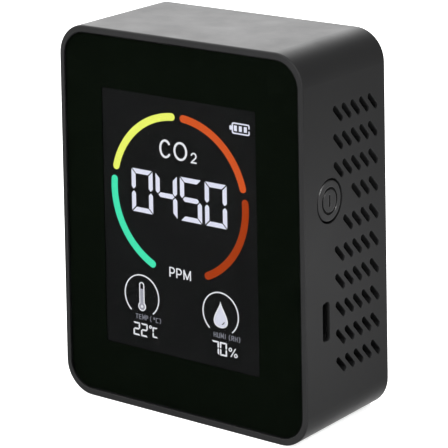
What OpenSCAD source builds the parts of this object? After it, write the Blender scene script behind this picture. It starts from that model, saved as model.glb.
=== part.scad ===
// Desktop carbon dioxide monitor, in millimetres.
// The case stands on its bottom face: +Z is up, -Y faces the reader, +X is the side with the button
// and the port. The origin is the centre of the bottom face.
// Parts are drawn in the face frame: x to the right, y up from mid-height, z towards the reader.

/* [Case] */
// Width of the case across its front
body_w = 72.2; // [71:0.1:76]
// Height of the case
body_h = 93.4; // [92.6:0.2:97]
// Depth of the case from the rim to the back
body_d = 35.5; // [34.5:0.5:40]
// Corner radius of the case seen from the front
corner_r = 7.8; // [7.6:0.1:8.4]
// Thickness of the case wall
wall = 1.9; // [1.8:0.1:2]
// Rounding of the case's front edge
front_fillet = 0.4; // [0.3:0.1:0.6]
// Rounding of the case's back edge
back_fillet = 0.6; // [0.4:0.1:1]

/* [Window] */
// Width of the rim beside the window
rim_side = 1.3; // [1.2:0.05:1.5]
// Width of the rim above and below the window
rim_end = 1.6; // [1.4:0.05:1.7]
// Thickness of the clear window
window_t = 0.8; // [0.6:0.1:1]
// Width of the clear area inside the printed border
view_w = 45.7; // [44:0.1:46.2]
// Height of the clear area inside the printed border
view_h = 63.6; // [62:0.1:64.4]

/* [Side slots] */
// Length of one slanted air slot
slot_len = 5.4; // [4.6:0.1:5.6]
// Width of one air slot
slot_w = 1.6; // [1.3:0.1:1.7]
// Distance between slot columns, front to back
slot_col_pitch = 3.77; // [3.6:0.01:3.8]
// Distance between slot rows
slot_row_pitch = 6.7; // [6.4:0.05:6.8]

/* [Button and port] */
// Diameter of the button cap
button_d = 9.9; // [9.6:0.1:10.2]
// Height of the button's axis above mid-height
button_y = 10.5; // [9.5:0.1:11]
// How far the button can be pressed
button_travel = 0.25; // [0.2:0.05:0.25]
// Height of the port's centre above mid-height
port_y = -17.9; // [-19:0.1:-17]

/* [Display] */
// Reading on the ring gauge
reading = "0450"; // 4
// Temperature reading
temperature = "22"; // 2
// Humidity reading
humidity = "70"; // 2
// How far the display's marks and clear area sit beside the case's centre line
display_x = -0.5; // [-0.6:0.1:0.6]
// Radius of the ring gauge's centre line
ring_r = 19.55; // [18.5:0.05:19.8]
// Width of the ring gauge's bars
ring_w = 1.85; // [1.6:0.05:2.4]
// Height of the ring gauge's centre above mid-height
ring_y = 7.72; // [7.4:0.02:8.2]
// Radius of the two small dials
dial_r = 5.16; // [5:0.02:5.5]

/* [Hidden] */

$fn = 64;
// Overlap that joins two solids of one moulding
join = 0.1;
// How far a cutter runs past the face it cuts
past = 1;
fine_fn = 96;

// Case: radii are measured from the centre of a corner's arc, z from mid-depth
front_z = body_d / 2;
back_z = -body_d / 2;
side_x = body_w / 2;
inner_r = corner_r - wall;
inner_x = side_x - wall;
cover_t = 2.4;
cover_edge = 1.5;
cover_gap = 0.12;
cover_r = corner_r - cover_edge;
cover_seat_z = back_z + cover_t;
bezel_t = 1;

// Window stack, from the front
window_sink = 0.05;
window_gap = 0.1;
print_t = 0.05;
tape_t = 0.1;
tape_w = 5;
window_back_z = front_z - window_sink - window_t;
print_back_z = window_back_z - print_t;
ledge_z = print_back_z - tape_t;
bezel_back_z = ledge_z - bezel_t;
window_open = [body_w - 2 * rim_side, body_h - 2 * rim_end];
window_open_r = corner_r - rim_side;
window_w = window_open[0] - 2 * window_gap;
window_h = window_open[1] - 2 * window_gap;
window_r = window_open_r - window_gap;

// Display stack: each value is the z of a part's front face
display_y = 0;
glass_w = 49;
glass_h = 67;
glass_t = 0.7;
contact_ledge = 3;
sheet_inset = 0.3;
film_t = 0.2;
lit_t = 0.12;
guide_t = 1.2;
reflector_t = 0.15;
slack = 0.05;
lit_z = print_back_z - 0.02;
front_film_z = lit_z - lit_t;
front_glass_z = front_film_z - film_t;
rear_glass_z = front_glass_z - glass_t;
rear_film_z = rear_glass_z - glass_t;
diffuser_z = rear_film_z - film_t - slack;
guide_z = diffuser_z - film_t;
reflector_z = guide_z - guide_t;
tray_z = reflector_z - reflector_t;
tray_floor = 0.8;
long_glass_h = glass_h + contact_ledge;
long_glass_y = display_y - contact_ledge / 2;
glass_bottom = display_y - glass_h / 2;
glass_top = display_y + glass_h / 2;
opening_gap = 0.4;
gasket_t = 0.6;
gasket_w = 1.1;
tray_wall = 1.3;
tray_w = glass_w + 0.4;
tray_h = long_glass_h + 0.4;
tray_top_z = bezel_back_z - gasket_t;
led_depth = 1.3;
led_row_y = glass_top - 1.25;
strip_t = 0.12;
guide_bottom = glass_bottom + 0.2;
guide_top = led_row_y - led_depth / 2 - 0.1;
guide_w = glass_w - 0.2;
guide_size = [guide_w, guide_top - guide_bottom];
guide_y = (guide_top + guide_bottom) / 2;
contact_w = 46;
contact_d = 2;
contact_y = glass_bottom - 1.8;

// Small dials of the lit layer and the icons in them
dial_x = 11.8;
dial_y = -18.6;
bulb_y = dial_y - 2.63;
tube_top = dial_y + 3.42;
icon_line = 0.24;
icon_gap = 0.03;
tube_r = 0.75;
tube_empty = 1.7;
bulb_r = 1.15;
bulb_dot_r = 0.35;

// Main board
board_t = 1.6;
board_z = tray_z - tray_floor;
board_back_z = board_z - board_t;
board_w = 64;
board_h = 76;
board_notch = [6, 1.2];
boss_at = [29.5, 30];
boss_r = 2.2;
boss_bore_r = 0.8;
boss_bore_depth = 2.8;
board_screw_r = 0.75;
board_screw_len = 3.9;
peg_r = 0.9;
peg_at = [23, 33];

// Cover columns and screws
column_at = [side_x - 5.6, body_h / 2 - 5.6];
column_r = 3.1;
column_bore_r = 1.05;
column_bore_depth = 12;
cover_screw_r = 1;
cover_screw_len = 10;
screw_head_r = 2.3;
screw_head_h = 1.1;
counterbore_r = 2.6;
counterbore_t = 1.3;

// Button, switch and port
button_z = front_z - 10.6;
button_gap = 0.45;
button_flange_r = button_d / 2 + 1.2;
button_flange_t = 1;
flange_gap = 0.1;
button_seat_x = inner_x - flange_gap;
button_cap_t = side_x - button_seat_x;
mark_r = 3;
mark_w = 0.65;
mark_depth = 0.4;
mark_bar = 2.9;
plunger_r = 1.7;
plunger_gap = 0.05;
plunger_tip_x = side_x - 4.4;
contact_gap = 0.02;
switch_size = [4.8, 6.2, 6.9];
switch_face_x = plunger_tip_x - 1.2;
switch_room_r = 2.7;
switch_room_x = switch_face_x - 2.8;
switch_lid = 0.6;
dome_h = 0.75;
dome_t = 0.12;
port_size = [7.3, 8.94, 3.16];
port_skin = 0.25;
port_lip = 0.95;
port_mouth_x = side_x - port_lip - 0.05;
port_z = board_back_z - port_size[2] / 2;
port_slot = [9.4, 3.1];
port_slot_r = 1;
port_pocket = [port_size[1] + 0.4, port_size[2] + 0.4];

// Air slots
slot_cols = 5;
slot_rows = 10;
slot_front_z = front_z - 14.55;
slot_top_y = 30.5;

// Sensor module and battery
sensor_at = [12, 10];
sensor_size = [20, 33.5];
sensor_board_t = 1;
sensor_standoff = 3;
sensor_board_z = board_back_z - sensor_standoff;
chamber_size = [18, 30, 6.5];
chamber_wall = 0.8;
chamber_back_z = sensor_board_z - sensor_board_t - chamber_size[2];
filter_size = [12, 20, 0.3];
battery_size = [34, 50, 6];
battery_at = [-6, -12];
pad_t = 0.5;
battery_back_z = cover_seat_z + pad_t;
socket_at = [-20, -24];
socket_size = [6.4, 4.8, 6];
socket_wall = 0.6;
plug_size = [5, 3.4, 5.6];
plug_back_z = board_back_z - socket_size[2] - 0.4;
lead_r = 0.55;
lead_bend = 3;
lead_pitch = 2;

// Turns a part drawn in the face frame upright
module face_frame() {
    translate([0, 0, body_h / 2]) rotate([90, 0, 0]) children();
}

// Turns a shape's z axis to +x, with its x axis pointing back and its y axis up
module facing_right() {
    rotate([0, 90, 0]) children();
}

module at_corners(at) {
    for (sx = [-1, 1], sy = [-1, 1])
        translate([sx * at[0], sy * at[1], 0]) children();
}

module rounded_rect(size, r) {
    square([size[0] - 2 * r, size[1]], center = true);
    square([size[0], size[1] - 2 * r], center = true);
    for (sx = [-1, 1], sy = [-1, 1])
        translate([sx * (size[0] / 2 - r), sy * (size[1] / 2 - r)]) circle(r);
}

// A flat sheet whose front face is at z and which runs back by t
module sheet(size, t, z, y = 0, r = 0) {
    translate([0, y, z - t]) linear_extrude(t)
        if (r > 0) rounded_rect(size, r);
        else square(size, center = true);
}

// Carries a wall section (x outwards from the corner's centre, y forwards) round the case's outline
module sweep_around(w, h, r) {
    a = w / 2 - r;
    b = h / 2 - r;
    corners = [[a, b], [-a, b], [-a, -b], [a, -b]];
    for (k = [0:3]) {
        translate(corners[k]) rotate(90 * k) rotate_extrude(angle = 90, $fn = fine_fn) children();
        rotate(90 * k) translate([k % 2 == 0 ? a : b, 0, 0]) rotate([90, 0, 0])
            linear_extrude(2 * (k % 2 == 0 ? b : a), center = true) children();
    }
}

// Cuts a square corner to a rounding of radius r; the arc's centre is at the origin
module rounding_cutter(r) {
    difference() {
        square(r + past);
        circle(r);
    }
}

module slot_2d(len, w) {
    square([len - w, w], center = true);
    for (s = [-1, 1])
        translate([s * (len - w) / 2, 0]) circle(w / 2);
}

// --- Case ---

module wall_section() {
    difference() {
        polygon([
            [inner_r, cover_seat_z], [cover_r, cover_seat_z], [cover_r, back_z], [corner_r, back_z],
            [corner_r, front_z], [inner_r, front_z]
        ]);
        translate([corner_r - front_fillet, front_z - front_fillet]) rounding_cutter(front_fillet);
        translate([corner_r - back_fillet, back_z + back_fillet]) mirror([0, 1])
            rounding_cutter(back_fillet);
    }
}

module cover_columns() {
    at_corners(column_at) translate([0, 0, cover_seat_z]) difference() {
        cylinder(r = column_r, h = bezel_back_z + join - cover_seat_z);
        translate([0, 0, -past]) cylinder(r = column_bore_r, h = column_bore_depth + past);
    }
}

module board_bosses() {
    at_corners(boss_at) translate([0, 0, board_z]) difference() {
        cylinder(r = boss_r, h = bezel_back_z + join - board_z);
        translate([0, 0, -past]) cylinder(r = boss_bore_r, h = boss_bore_depth + past);
    }
}

module bezel_wall() {
    translate([0, 0, bezel_back_z]) linear_extrude(bezel_t) difference() {
        rounded_rect([body_w - wall, body_h - wall], corner_r - wall / 2);
        translate([0, long_glass_y])
            rounded_rect([glass_w + 2 * opening_gap, long_glass_h + 2 * opening_gap], 0.6);
    }
}

// Slots through one side wall; the button's side leaves out those near the button
module side_slots(clear_of_button) {
    for (row = [0:slot_rows - 1], col = [0:slot_cols - 1]) {
        beside_button = (row == 3 && col < 2) || (row == 4 && col < 1);
        if (!(clear_of_button && beside_button))
            translate([0, slot_top_y - row * slot_row_pitch, slot_front_z - col * slot_col_pitch])
                facing_right() linear_extrude(4 * wall, center = true) rotate(135)
                    slot_2d(slot_len, slot_w);
    }
}

module button_hole() {
    translate([side_x, button_y, button_z]) facing_right()
        cylinder(r = button_d / 2 + button_gap, h = 4 * wall, center = true);
}

// The slot in the wall, and behind it a pocket that lets the receptacle come near the outside
module port_hole() {
    translate([side_x, port_y, port_z]) facing_right() rotate(90)
        linear_extrude(4 * wall, center = true) rounded_rect(port_slot, port_slot_r);
    translate([side_x - port_lip - 2 * wall, port_y, port_z]) facing_right() rotate(90)
        linear_extrude(2 * wall) rounded_rect(port_pocket, port_slot_r);
}

module window_hole() {
    translate([0, 0, ledge_z]) linear_extrude(front_z - ledge_z + past)
        rounded_rect(window_open, window_open_r);
}

module front_shell() {
    color([0.14, 0.14, 0.145]) face_frame() {
        difference() {
            union() {
                sweep_around(body_w, body_h, corner_r) wall_section();
                bezel_wall();
            }
            translate([side_x, 0, 0]) side_slots(true);
            translate([-side_x, 0, 0]) side_slots(false);
            window_hole();
            button_hole();
            port_hole();
        }
        cover_columns();
        board_bosses();
    }
}

module cover_section() {
    r = cover_r - cover_gap;
    edge = 0.3;
    difference() {
        translate([0, back_z]) square([r, cover_t]);
        translate([r - edge, back_z + edge]) mirror([0, 1]) rounding_cutter(edge);
    }
}

module cover_lip() {
    lip_t = 1.1;
    lip_h = 1.5;
    lip_gap = 0.2;
    column_gap = 0.4;
    difference() {
        sweep_around(body_w, body_h, corner_r)
            translate([inner_r - lip_gap - lip_t, cover_seat_z - join]) square([lip_t, lip_h + join]);
        at_corners(column_at) translate([0, 0, cover_seat_z])
            cylinder(r = column_r + column_gap, h = lip_h + past);
    }
}

module cover_slots() {
    col_pitch = 5;
    low_row_y = 22;
    for (col = [-4:4], row = [0:2])
        translate([col_pitch * col, low_row_y + slot_row_pitch * row, back_z])
            linear_extrude(4 * cover_t, center = true) rotate(45) slot_2d(slot_len, slot_w);
}

module rear_cover() {
    label = [40, 20];
    label_y = -20;
    label_r = 2;
    label_depth = 0.2;
    screw_slack = 0.35;
    color([0.14, 0.14, 0.145]) face_frame() difference() {
        union() {
            sweep_around(body_w, body_h, corner_r) cover_section();
            translate([0, 0, back_z + cover_t / 2])
                cube([body_w - 2 * corner_r, body_h - 2 * corner_r, cover_t], center = true);
            cover_lip();
        }
        cover_slots();
        translate([0, label_y, back_z - past]) linear_extrude(label_depth + past)
            rounded_rect(label, label_r);
        at_corners(column_at) {
            translate([0, 0, back_z - past]) cylinder(r = counterbore_r, h = counterbore_t + past);
            translate([0, 0, back_z]) cylinder(r = cover_screw_r + screw_slack, h = 2 * cover_t);
        }
    }
}

// A pan-head screw with a cross recess, its head at the back and its shank running forwards
module pan_screw(head_r, head_h, shank_r, shank_len) {
    slot = [0.6 * head_r / 2.3, 2.4 * head_r / 2.3];
    difference() {
        cylinder(r = head_r, h = head_h);
        for (a = [0, 90])
            rotate(a) cube([slot[0], slot[1], 1.2 * head_h], center = true);
    }
    translate([0, 0, head_h - join]) cylinder(r = shank_r, h = shank_len + join);
}

module cover_screws() {
    color([0.32, 0.32, 0.34]) face_frame() at_corners(column_at)
        translate([0, 0, back_z + counterbore_t - screw_head_h])
            pan_screw(screw_head_r, screw_head_h, cover_screw_r, cover_screw_len);
}

// --- Window ---

module front_window() {
    edge = 0.15;
    color([0.5, 0.53, 0.52, 0.4]) face_frame() {
        sweep_around(window_w, window_h, window_r) difference() {
            translate([0, window_back_z]) square([window_r, window_t]);
            translate([window_r, window_back_z + window_t]) rotate(45)
                square(edge * sqrt(2), center = true);
        }
        translate([0, 0, window_back_z + window_t / 2]) cube(
            [window_w - 2 * window_r, window_h - 2 * window_r, window_t], center = true);
    }
}

module window_print() {
    color([0.03, 0.04, 0.03]) face_frame() translate([0, 0, print_back_z])
        linear_extrude(print_t) difference() {
            rounded_rect([window_w, window_h], window_r);
            translate([display_x, display_y]) rounded_rect([view_w, view_h], 0.5);
        }
}

module window_tape() {
    color([0.2, 0.2, 0.2]) face_frame() translate([0, 0, ledge_z])
        linear_extrude(tape_t) difference() {
            rounded_rect([window_w - 0.6, window_h - 0.6], window_r - 0.3);
            rounded_rect([window_w - 2 * tape_w, window_h - 2 * tape_w], 2);
        }
}

// --- Lit display parts ---

function arc_points(centre, rx, ry, from, to, steps = 24) = [
    for (i = [0:steps])
        let (a = from + (to - from) * i / steps) centre + [rx * cos(a), ry * sin(a)]
];

function unit(v) = v / norm(v);
function turned(v) = [-v[1], v[0]];

// Sideways vector at point i of a path, lengthened so that mitred corners keep the line's width
function side_vector(path, i) =
    let (
        last = len(path) - 1,
        before = unit(i > 0 ? path[i] - path[i - 1] : path[1] - path[0]),
        after = unit(i < last ? path[i + 1] - path[i] : path[last] - path[last - 1]),
        m = turned(unit(before + after))
    ) m / (m * turned(before));

// Half circle round a path's end, turning clockwise from the side at angle a + 90
function cap_points(end, r, a) = [
    for (k = [1:7]) end + r * [cos(a + 90 - 22.5 * k), sin(a + 90 - 22.5 * k)]
];

// A line of width w with round ends along a path
module stroke(path, w) {
    last = len(path) - 1;
    out = path[last] - path[last - 1];
    back = path[0] - path[1];
    polygon(concat(
        [for (i = [0:last]) path[i] + side_vector(path, i) * w / 2],
        cap_points(path[last], w / 2, atan2(out[1], out[0])),
        [for (i = [last:-1:0]) path[i] - side_vector(path, i) * w / 2],
        cap_points(path[0], w / 2, atan2(back[1], back[0]))
    ));
}

module ellipse_ring(centre, rx, ry, w) {
    difference() {
        polygon(arc_points(centre, rx + w / 2, ry + w / 2, 0, 352.5, 47));
        polygon(arc_points(centre, rx - w / 2, ry - w / 2, 0, 352.5, 47));
    }
}

module lit() {
    face_frame() translate([display_x, 0, lit_z - lit_t]) linear_extrude(lit_t) children();
}

module gauge_bar(index) {
    span = 70;
    start = 80 * index - 65;
    lit() stroke(arc_points([0, ring_y], ring_r, ring_r, start, start + span, 48), ring_w);
}

module gauge_bar_red() { color([0.69, 0.25, 0.06]) gauge_bar(0); }
module gauge_bar_orange() { color([0.85, 0.31, 0.12]) gauge_bar(1); }
module gauge_bar_yellow() { color([0.92, 0.96, 0.35]) gauge_bar(2); }
module gauge_bar_green() { color([0.25, 0.88, 0.64]) gauge_bar(3); }

// Which of the seven bars a to g are lit for each character
lit_bars = [
    ["0", "abcdef"], ["1", "bc"], ["2", "abdeg"], ["3", "abcdg"], ["4", "bcfg"],
    ["5", "acdfg"], ["6", "acdefg"], ["7", "abc"], ["8", "abcdefg"], ["9", "abcdfg"],
    ["C", "adef"]
];
function bars_of(ch) = lit_bars[search([ch], lit_bars)[0]][1];

// A horizontal bar at the top (1) or bottom (-1) of a cell with half-size hw, hh
module end_bar(hw, hh, t, gap, side) {
    polygon([
        [-hw + gap, side * hh], [hw - gap, side * hh],
        [hw - t - gap, side * (hh - t)], [-hw + t + gap, side * (hh - t)]
    ]);
}

module middle_bar(hw, t, gap) {
    polygon([
        [-hw + t / 2 + gap, 0], [-hw + t + gap, t / 2], [hw - t - gap, t / 2],
        [hw - t / 2 - gap, 0], [hw - t - gap, -t / 2], [-hw + t + gap, -t / 2]
    ]);
}

// A vertical bar in the left or right (sx), upper or lower (sy) half of a cell
module upright_bar(hw, hh, t, gap, sx, sy) {
    polygon([
        [sx * hw, sy * (hh - gap)], [sx * (hw - t), sy * (hh - t - gap)],
        [sx * (hw - t), sy * (t / 2 + gap)], [sx * (hw - t / 2), sy * gap],
        [sx * hw, sy * (t / 2 + gap)]
    ]);
}

module seven_bar(ch, size, t, gap) {
    hw = size[0] / 2;
    hh = size[1] / 2;
    for (bar = bars_of(ch)) {
        if (bar == "a") end_bar(hw, hh, t, gap, 1);
        if (bar == "d") end_bar(hw, hh, t, gap, -1);
        if (bar == "g") middle_bar(hw, t, gap);
        if (bar == "b") upright_bar(hw, hh, t, gap, 1, 1);
        if (bar == "c") upright_bar(hw, hh, t, gap, 1, -1);
        if (bar == "e") upright_bar(hw, hh, t, gap, -1, -1);
        if (bar == "f") upright_bar(hw, hh, t, gap, -1, 1);
    }
}

module number(digits, centre, size, pitch, t, gap) {
    for (i = [0:len(digits) - 1])
        translate(centre + [pitch * (i - (len(digits) - 1) / 2), 0])
            seven_bar(digits[i], size, t, gap);
}

module reading_digits() {
    size = [6.35, 10.65];
    pitch = 7.33;
    bar_w = 1.15;
    gap = 0.24;
    color([0.86, 0.86, 0.95]) lit() number(reading, [0, ring_y - 0.1], size, pitch, bar_w, gap);
}

// Chemical symbol of carbon dioxide, above the reading
module gas_symbol(y) {
    w = 0.52;
    thin = 0.33;
    h = 2.03;
    foot = [4, y - 2.16];
    stroke(arc_points([-3.75, y], 1.5, h, 40, 320), w);
    ellipse_ring([0.75, y], 1.75, h, w);
    stroke(concat(arc_points([4.7, y - 0.58], 0.68, 0.68, 165, -35, 12), [foot]), thin);
    stroke([foot, [5.4, foot[1]]], thin);
}

module letter_p(x, y, w) {
    h = 2.18;
    bowl = 0.66;
    stroke([[x, y], [x, y + h]], w);
    stroke(concat([[x, y + h]], arc_points([x + 0.7, y + h - bowl], bowl, bowl, 90, -90, 12),
        [[x, y + h - 2 * bowl]]), w);
}

module letter_m(x, y, w) {
    size = [1.9, 2.18];
    for (side = [0, 1]) {
        top = [x + side * size[0], y + size[1]];
        stroke([[top[0], y], top], w);
        stroke([top, [x + size[0] / 2, y + 0.1]], w);
    }
}

// Unit of the reading, parts per million, below it
module unit_symbol(y) {
    w = 0.28;
    letter_p(-3.07, y, w);
    letter_p(-1, y, w);
    letter_m(1.15, y, w);
}

module quantity_marks() {
    color([0.86, 0.86, 0.95]) lit() {
        gas_symbol(ring_y + 11.4);
        unit_symbol(ring_y - 19.8);
    }
}

module dial(x) {
    stroke(arc_points([x, dial_y], dial_r, dial_r, -49, 229, 60), 0.28);
}

// Thermometer icon, drawn smaller all round by shrink: round the bulb, then over the tube's end
module thermometer(x, shrink = 0) {
    r = tube_r - shrink;
    bulb = bulb_r - shrink;
    neck = 90 - asin(r / bulb);
    polygon(concat(
        arc_points([x, bulb_y], bulb, bulb, 180 - neck, 360 + neck, 40),
        arc_points([x, tube_top - tube_r], r, r, 0, 180, 12)
    ));
}

module thermometer_outline(x) {
    difference() {
        thermometer(x);
        thermometer(x, icon_line);
    }
    translate([x, bulb_y]) circle(bulb_dot_r);
}

module thermometer_fill(x) {
    difference() {
        thermometer(x, icon_line + icon_gap);
        translate([x, tube_top]) square([2 * bulb_r, 2 * tube_empty], center = true);
        translate([x, bulb_y]) circle(bulb_dot_r + icon_gap);
    }
}

// Drop outline: round below, drawn out to a point at the top
function drop_points(centre, w, h) = [
    for (a = concat([0], [for (i = [3:45]) 7.5 * i]))
        centre + [w * sin(a) * pow(sin(a / 2), 2), h / 2 * cos(a)]
];

// Drop icon, drawn smaller by shrink; its sharp tip recedes faster than its sides
module drop(x, shrink = 0) {
    polygon(drop_points(
        [x, dial_y - 0.23 - 1.07 * shrink], 3.12 - 1.53 * shrink, 6.4 - 4.13 * shrink));
}

module drop_outline(x) {
    difference() {
        drop(x);
        drop(x, icon_line);
    }
}

module drop_fill(x) {
    difference() {
        drop(x, icon_line + icon_gap);
        stroke(arc_points([x, dial_y - 1.4], 1.15, 1.15, -70, -25, 8), icon_line);
    }
}

module climate_dials() {
    color([0.84, 0.84, 0.93]) lit() {
        dial(-dial_x);
        dial(dial_x);
        thermometer_outline(-dial_x);
        drop_outline(dial_x);
    }
}

module climate_fills() {
    color([0.62, 0.62, 0.72]) lit() {
        thermometer_fill(-dial_x);
        drop_fill(dial_x);
    }
}

module percent_sign(x, y) {
    w = 0.23;
    stroke([[x - 0.6, y - 1], [x + 0.65, y + 1]], w);
    ellipse_ring([x - 0.78, y + 0.62], 0.38, 0.38, w);
    ellipse_ring([x + 0.78, y - 0.58], 0.38, 0.38, w);
}

module climate_readouts() {
    size = [2, 3.28];
    pitch = 2.33;
    bar_w = 0.36;
    gap = 0.07;
    y = dial_y - 8.5;
    color([0.86, 0.86, 0.95]) lit() {
        number(temperature, [-12.43, y], size, pitch, bar_w, gap);
        number(humidity, [11.29, y], size, pitch, bar_w, gap);
        ellipse_ring([-9.36, y + 1.16], 0.3, 0.3, 0.21);
        number("C", [-7.95, y], 0.78 * size, pitch, 0.9 * bar_w, gap);
        percent_sign(15.25, y - 0.33);
    }
}

// Small signs drawn as paths in a cell 0.66 wide and 1 high; * is the degree sign
function sign_paths(ch) =
    ch == "T" ? [[[0, 1], [0.6, 1]], [[0.3, 1], [0.3, 0]]] :
    ch == "E" ? [[[0.55, 1], [0, 1], [0, 0], [0.55, 0]], [[0, 0.5], [0.48, 0.5]]] :
    ch == "M" ? [[[0, 0], [0, 1], [0.33, 0.3], [0.66, 1], [0.66, 0]]] :
    ch == "P" ? [[[0, 0], [0, 1]], [[0, 1], [0.5, 1], [0.5, 0.5], [0, 0.5]]] :
    ch == "H" ? [[[0, 0], [0, 1]], [[0.58, 0], [0.58, 1]], [[0, 0.5], [0.58, 0.5]]] :
    ch == "U" ? [[[0, 1], [0, 0], [0.56, 0], [0.56, 1]]] :
    ch == "C" ? [[[0.6, 1], [0, 1], [0, 0], [0.6, 0]]] :
    ch == "R" ? [[[0, 0], [0, 1]], [[0, 1], [0.55, 1], [0.55, 0.5], [0, 0.5]],
        [[0.2, 0.5], [0.6, 0]]] :
    ch == "(" ? [[[0.5, 1.12], [0.3, 0.8], [0.3, 0.2], [0.5, -0.12]]] :
    ch == ")" ? [[[0.1, 1.12], [0.3, 0.8], [0.3, 0.2], [0.1, -0.12]]] :
    ch == "*" ? [[[0.3, 0.62], [0.5, 0.62], [0.5, 0.98], [0.3, 0.98]], [[0.3, 0.98], [0.3, 0.62]]] :
    [[[0.2, 0], [0.2, 1]]];

module caption(word, at) {
    for (i = [0:len(word) - 1])
        translate(at + [1.03 * i, 0]) for (path = sign_paths(word[i]))
            stroke(1.05 * path, 0.15);
}

module climate_captions() {
    color([0.45, 0.45, 0.5]) lit() {
        caption("TEMP(*C)", [-13.75, dial_y - 5.85]);
        caption("HUMI(RH)", [9.75, dial_y - 5.85]);
    }
}

module battery_symbol() {
    centre = [18.57, 27.08];
    size = [5.05, 2.7];
    line = 0.3;
    color([0.86, 0.86, 0.95]) lit() translate(centre) {
        difference() {
            rounded_rect(size, 0.5);
            rounded_rect(size - 2 * [line, line], 0.2);
            translate([size[0] / 2, 0]) square([2 * line, 0.55], center = true);
        }
        translate([-size[0] / 2 - 0.3, 0]) square([0.7, 1], center = true);
        for (i = [-1:1])
            translate([1.43 * i - 0.09, 0]) square([0.8, 1.3], center = true);
    }
}

// --- Display module ---

module front_polariser() {
    color([0.11, 0.11, 0.11]) face_frame()
        sheet([glass_w - 2 * sheet_inset, glass_h - 2 * sheet_inset], film_t, front_film_z,
            display_y);
}

module front_glass() {
    color([0.75, 0.85, 0.83, 0.5]) face_frame()
        sheet([glass_w, long_glass_h], glass_t, front_glass_z, long_glass_y);
}

module rear_glass() {
    color([0.75, 0.85, 0.83, 0.5]) face_frame()
        sheet([glass_w, glass_h], glass_t, rear_glass_z, display_y);
}

module rear_polariser() {
    color([0.2, 0.2, 0.22]) face_frame()
        sheet([glass_w - 2 * sheet_inset, glass_h - 2 * sheet_inset], film_t, rear_film_z,
            display_y);
}

module display_gasket() {
    inner = [glass_w + 2 * opening_gap, long_glass_h + 2 * opening_gap];
    color([0.12, 0.12, 0.13]) face_frame() difference() {
        sheet(inner + 2 * [gasket_w, gasket_w], gasket_t, bezel_back_z, long_glass_y, 1.2);
        sheet(inner, 3 * gasket_t, bezel_back_z + gasket_t, long_glass_y, 0.6);
    }
}

module diffuser_sheet() {
    size = [guide_w, glass_top - guide_bottom];
    color([0.93, 0.93, 0.92]) face_frame()
        sheet(size, film_t, diffuser_z, guide_bottom + size[1] / 2);
}

module light_guide() {
    color([0.85, 0.9, 0.95, 0.6]) face_frame() sheet(guide_size, guide_t, guide_z, guide_y);
}

module reflector_sheet() {
    color([0.95, 0.95, 0.95]) face_frame() sheet(guide_size, reflector_t, reflector_z, guide_y);
}

module backlight_strip() {
    color([0.78, 0.55, 0.2]) face_frame()
        sheet([44, led_depth + 0.1], strip_t, tray_z + strip_t, led_row_y);
}

module backlight_leds() {
    led_h = 1;
    color([0.95, 0.93, 0.7]) face_frame() for (i = [-2:3])
        translate([8 * i - 4, 0, 0])
            sheet([3.8, led_depth], led_h, tray_z + strip_t + led_h, led_row_y);
}

// Open tray that carries the display and the backlight on the main board
module display_holder() {
    rib_t = 0.6;
    rib_y = glass_bottom - 0.2;
    peg_end = 0.5;
    strip_room = [0.8, 0.5];
    color([0.9, 0.9, 0.88]) face_frame() {
        difference() {
            sheet([tray_w + 2 * tray_wall, tray_h + 2 * tray_wall], tray_top_z - board_z,
                tray_top_z, long_glass_y, 1);
            sheet([tray_w, tray_h], tray_top_z - tray_z + past, tray_top_z + past, long_glass_y);
            sheet([contact_w, contact_d] + strip_room, 4 * tray_floor, tray_z + past, contact_y);
        }
        sheet([tray_w + join, rib_t], rear_film_z - film_t - tray_z + join,
            rear_film_z - film_t, rib_y);
        at_corners(peg_at) translate([0, 0, board_back_z - peg_end])
            cylinder(r = peg_r, h = board_t + peg_end + join);
    }
}

module contact_strip() {
    color([0.85, 0.35, 0.5]) face_frame()
        sheet([contact_w, contact_d], rear_glass_z - board_z, rear_glass_z, contact_y);
}

// --- Main board ---

module main_board() {
    color([0.05, 0.32, 0.18]) face_frame() translate([0, 0, board_back_z])
        linear_extrude(board_t) difference() {
            rounded_rect([board_w, board_h], 1);
            at_corners([board_w / 2, board_h / 2]) square(2 * board_notch, center = true);
            at_corners(boss_at) circle(boss_bore_r + 0.3);
            at_corners(peg_at) circle(peg_r + 0.1);
        }
}

module board_screws() {
    head_r = 1.8;
    head_h = 1.1;
    color([0.7, 0.7, 0.72]) face_frame() at_corners(boss_at)
        translate([0, 0, board_back_z - head_h])
            pan_screw(head_r, head_h, board_screw_r, board_screw_len);
}

// A part of the given size standing on the board's back face
module on_board(size, at) {
    translate([at[0], at[1], board_back_z - size[2] / 2]) cube(size, center = true);
}

// Chip with rows of flat leads on the sides named by the angles
module chip(size, at, leads, pitch, angles) {
    lift = 0.1;
    lead = [1.2, 0.3 * pitch / 0.8, 0.2];
    body = [size[0], size[1], size[2] - lift];
    translate([at[0], at[1], board_back_z - lift - body[2] / 2]) cube(body, center = true);
    for (a = angles, i = [0:leads - 1])
        translate([at[0], at[1], board_back_z - lead[2] / 2]) rotate(a)
            translate([size[0] / 2 + 0.35, pitch * (i - (leads - 1) / 2), 0])
                cube(lead, center = true);
}

module controller_chip() {
    color([0.1, 0.1, 0.1]) face_frame() chip([10, 10, 1.5], [-9, 4], 11, 0.8, [0, 90, 180, 270]);
}

module driver_chip() {
    color([0.1, 0.1, 0.1]) face_frame() chip([10, 10, 1.5], [-3, -20], 11, 0.8, [0, 90, 180, 270]);
}

module charger_chip() {
    color([0.1, 0.1, 0.1]) face_frame() chip([4, 5, 1.5], [19, -18], 4, 1.2, [0, 180]);
}

module inductor() {
    size = [5, 5, 3];
    color([0.2, 0.2, 0.21]) face_frame() difference() {
        on_board(size, [19, -28]);
        translate([19, -28, board_back_z - size[2] - past]) cylinder(r = 1.6, h = 0.3 + past);
    }
}

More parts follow.
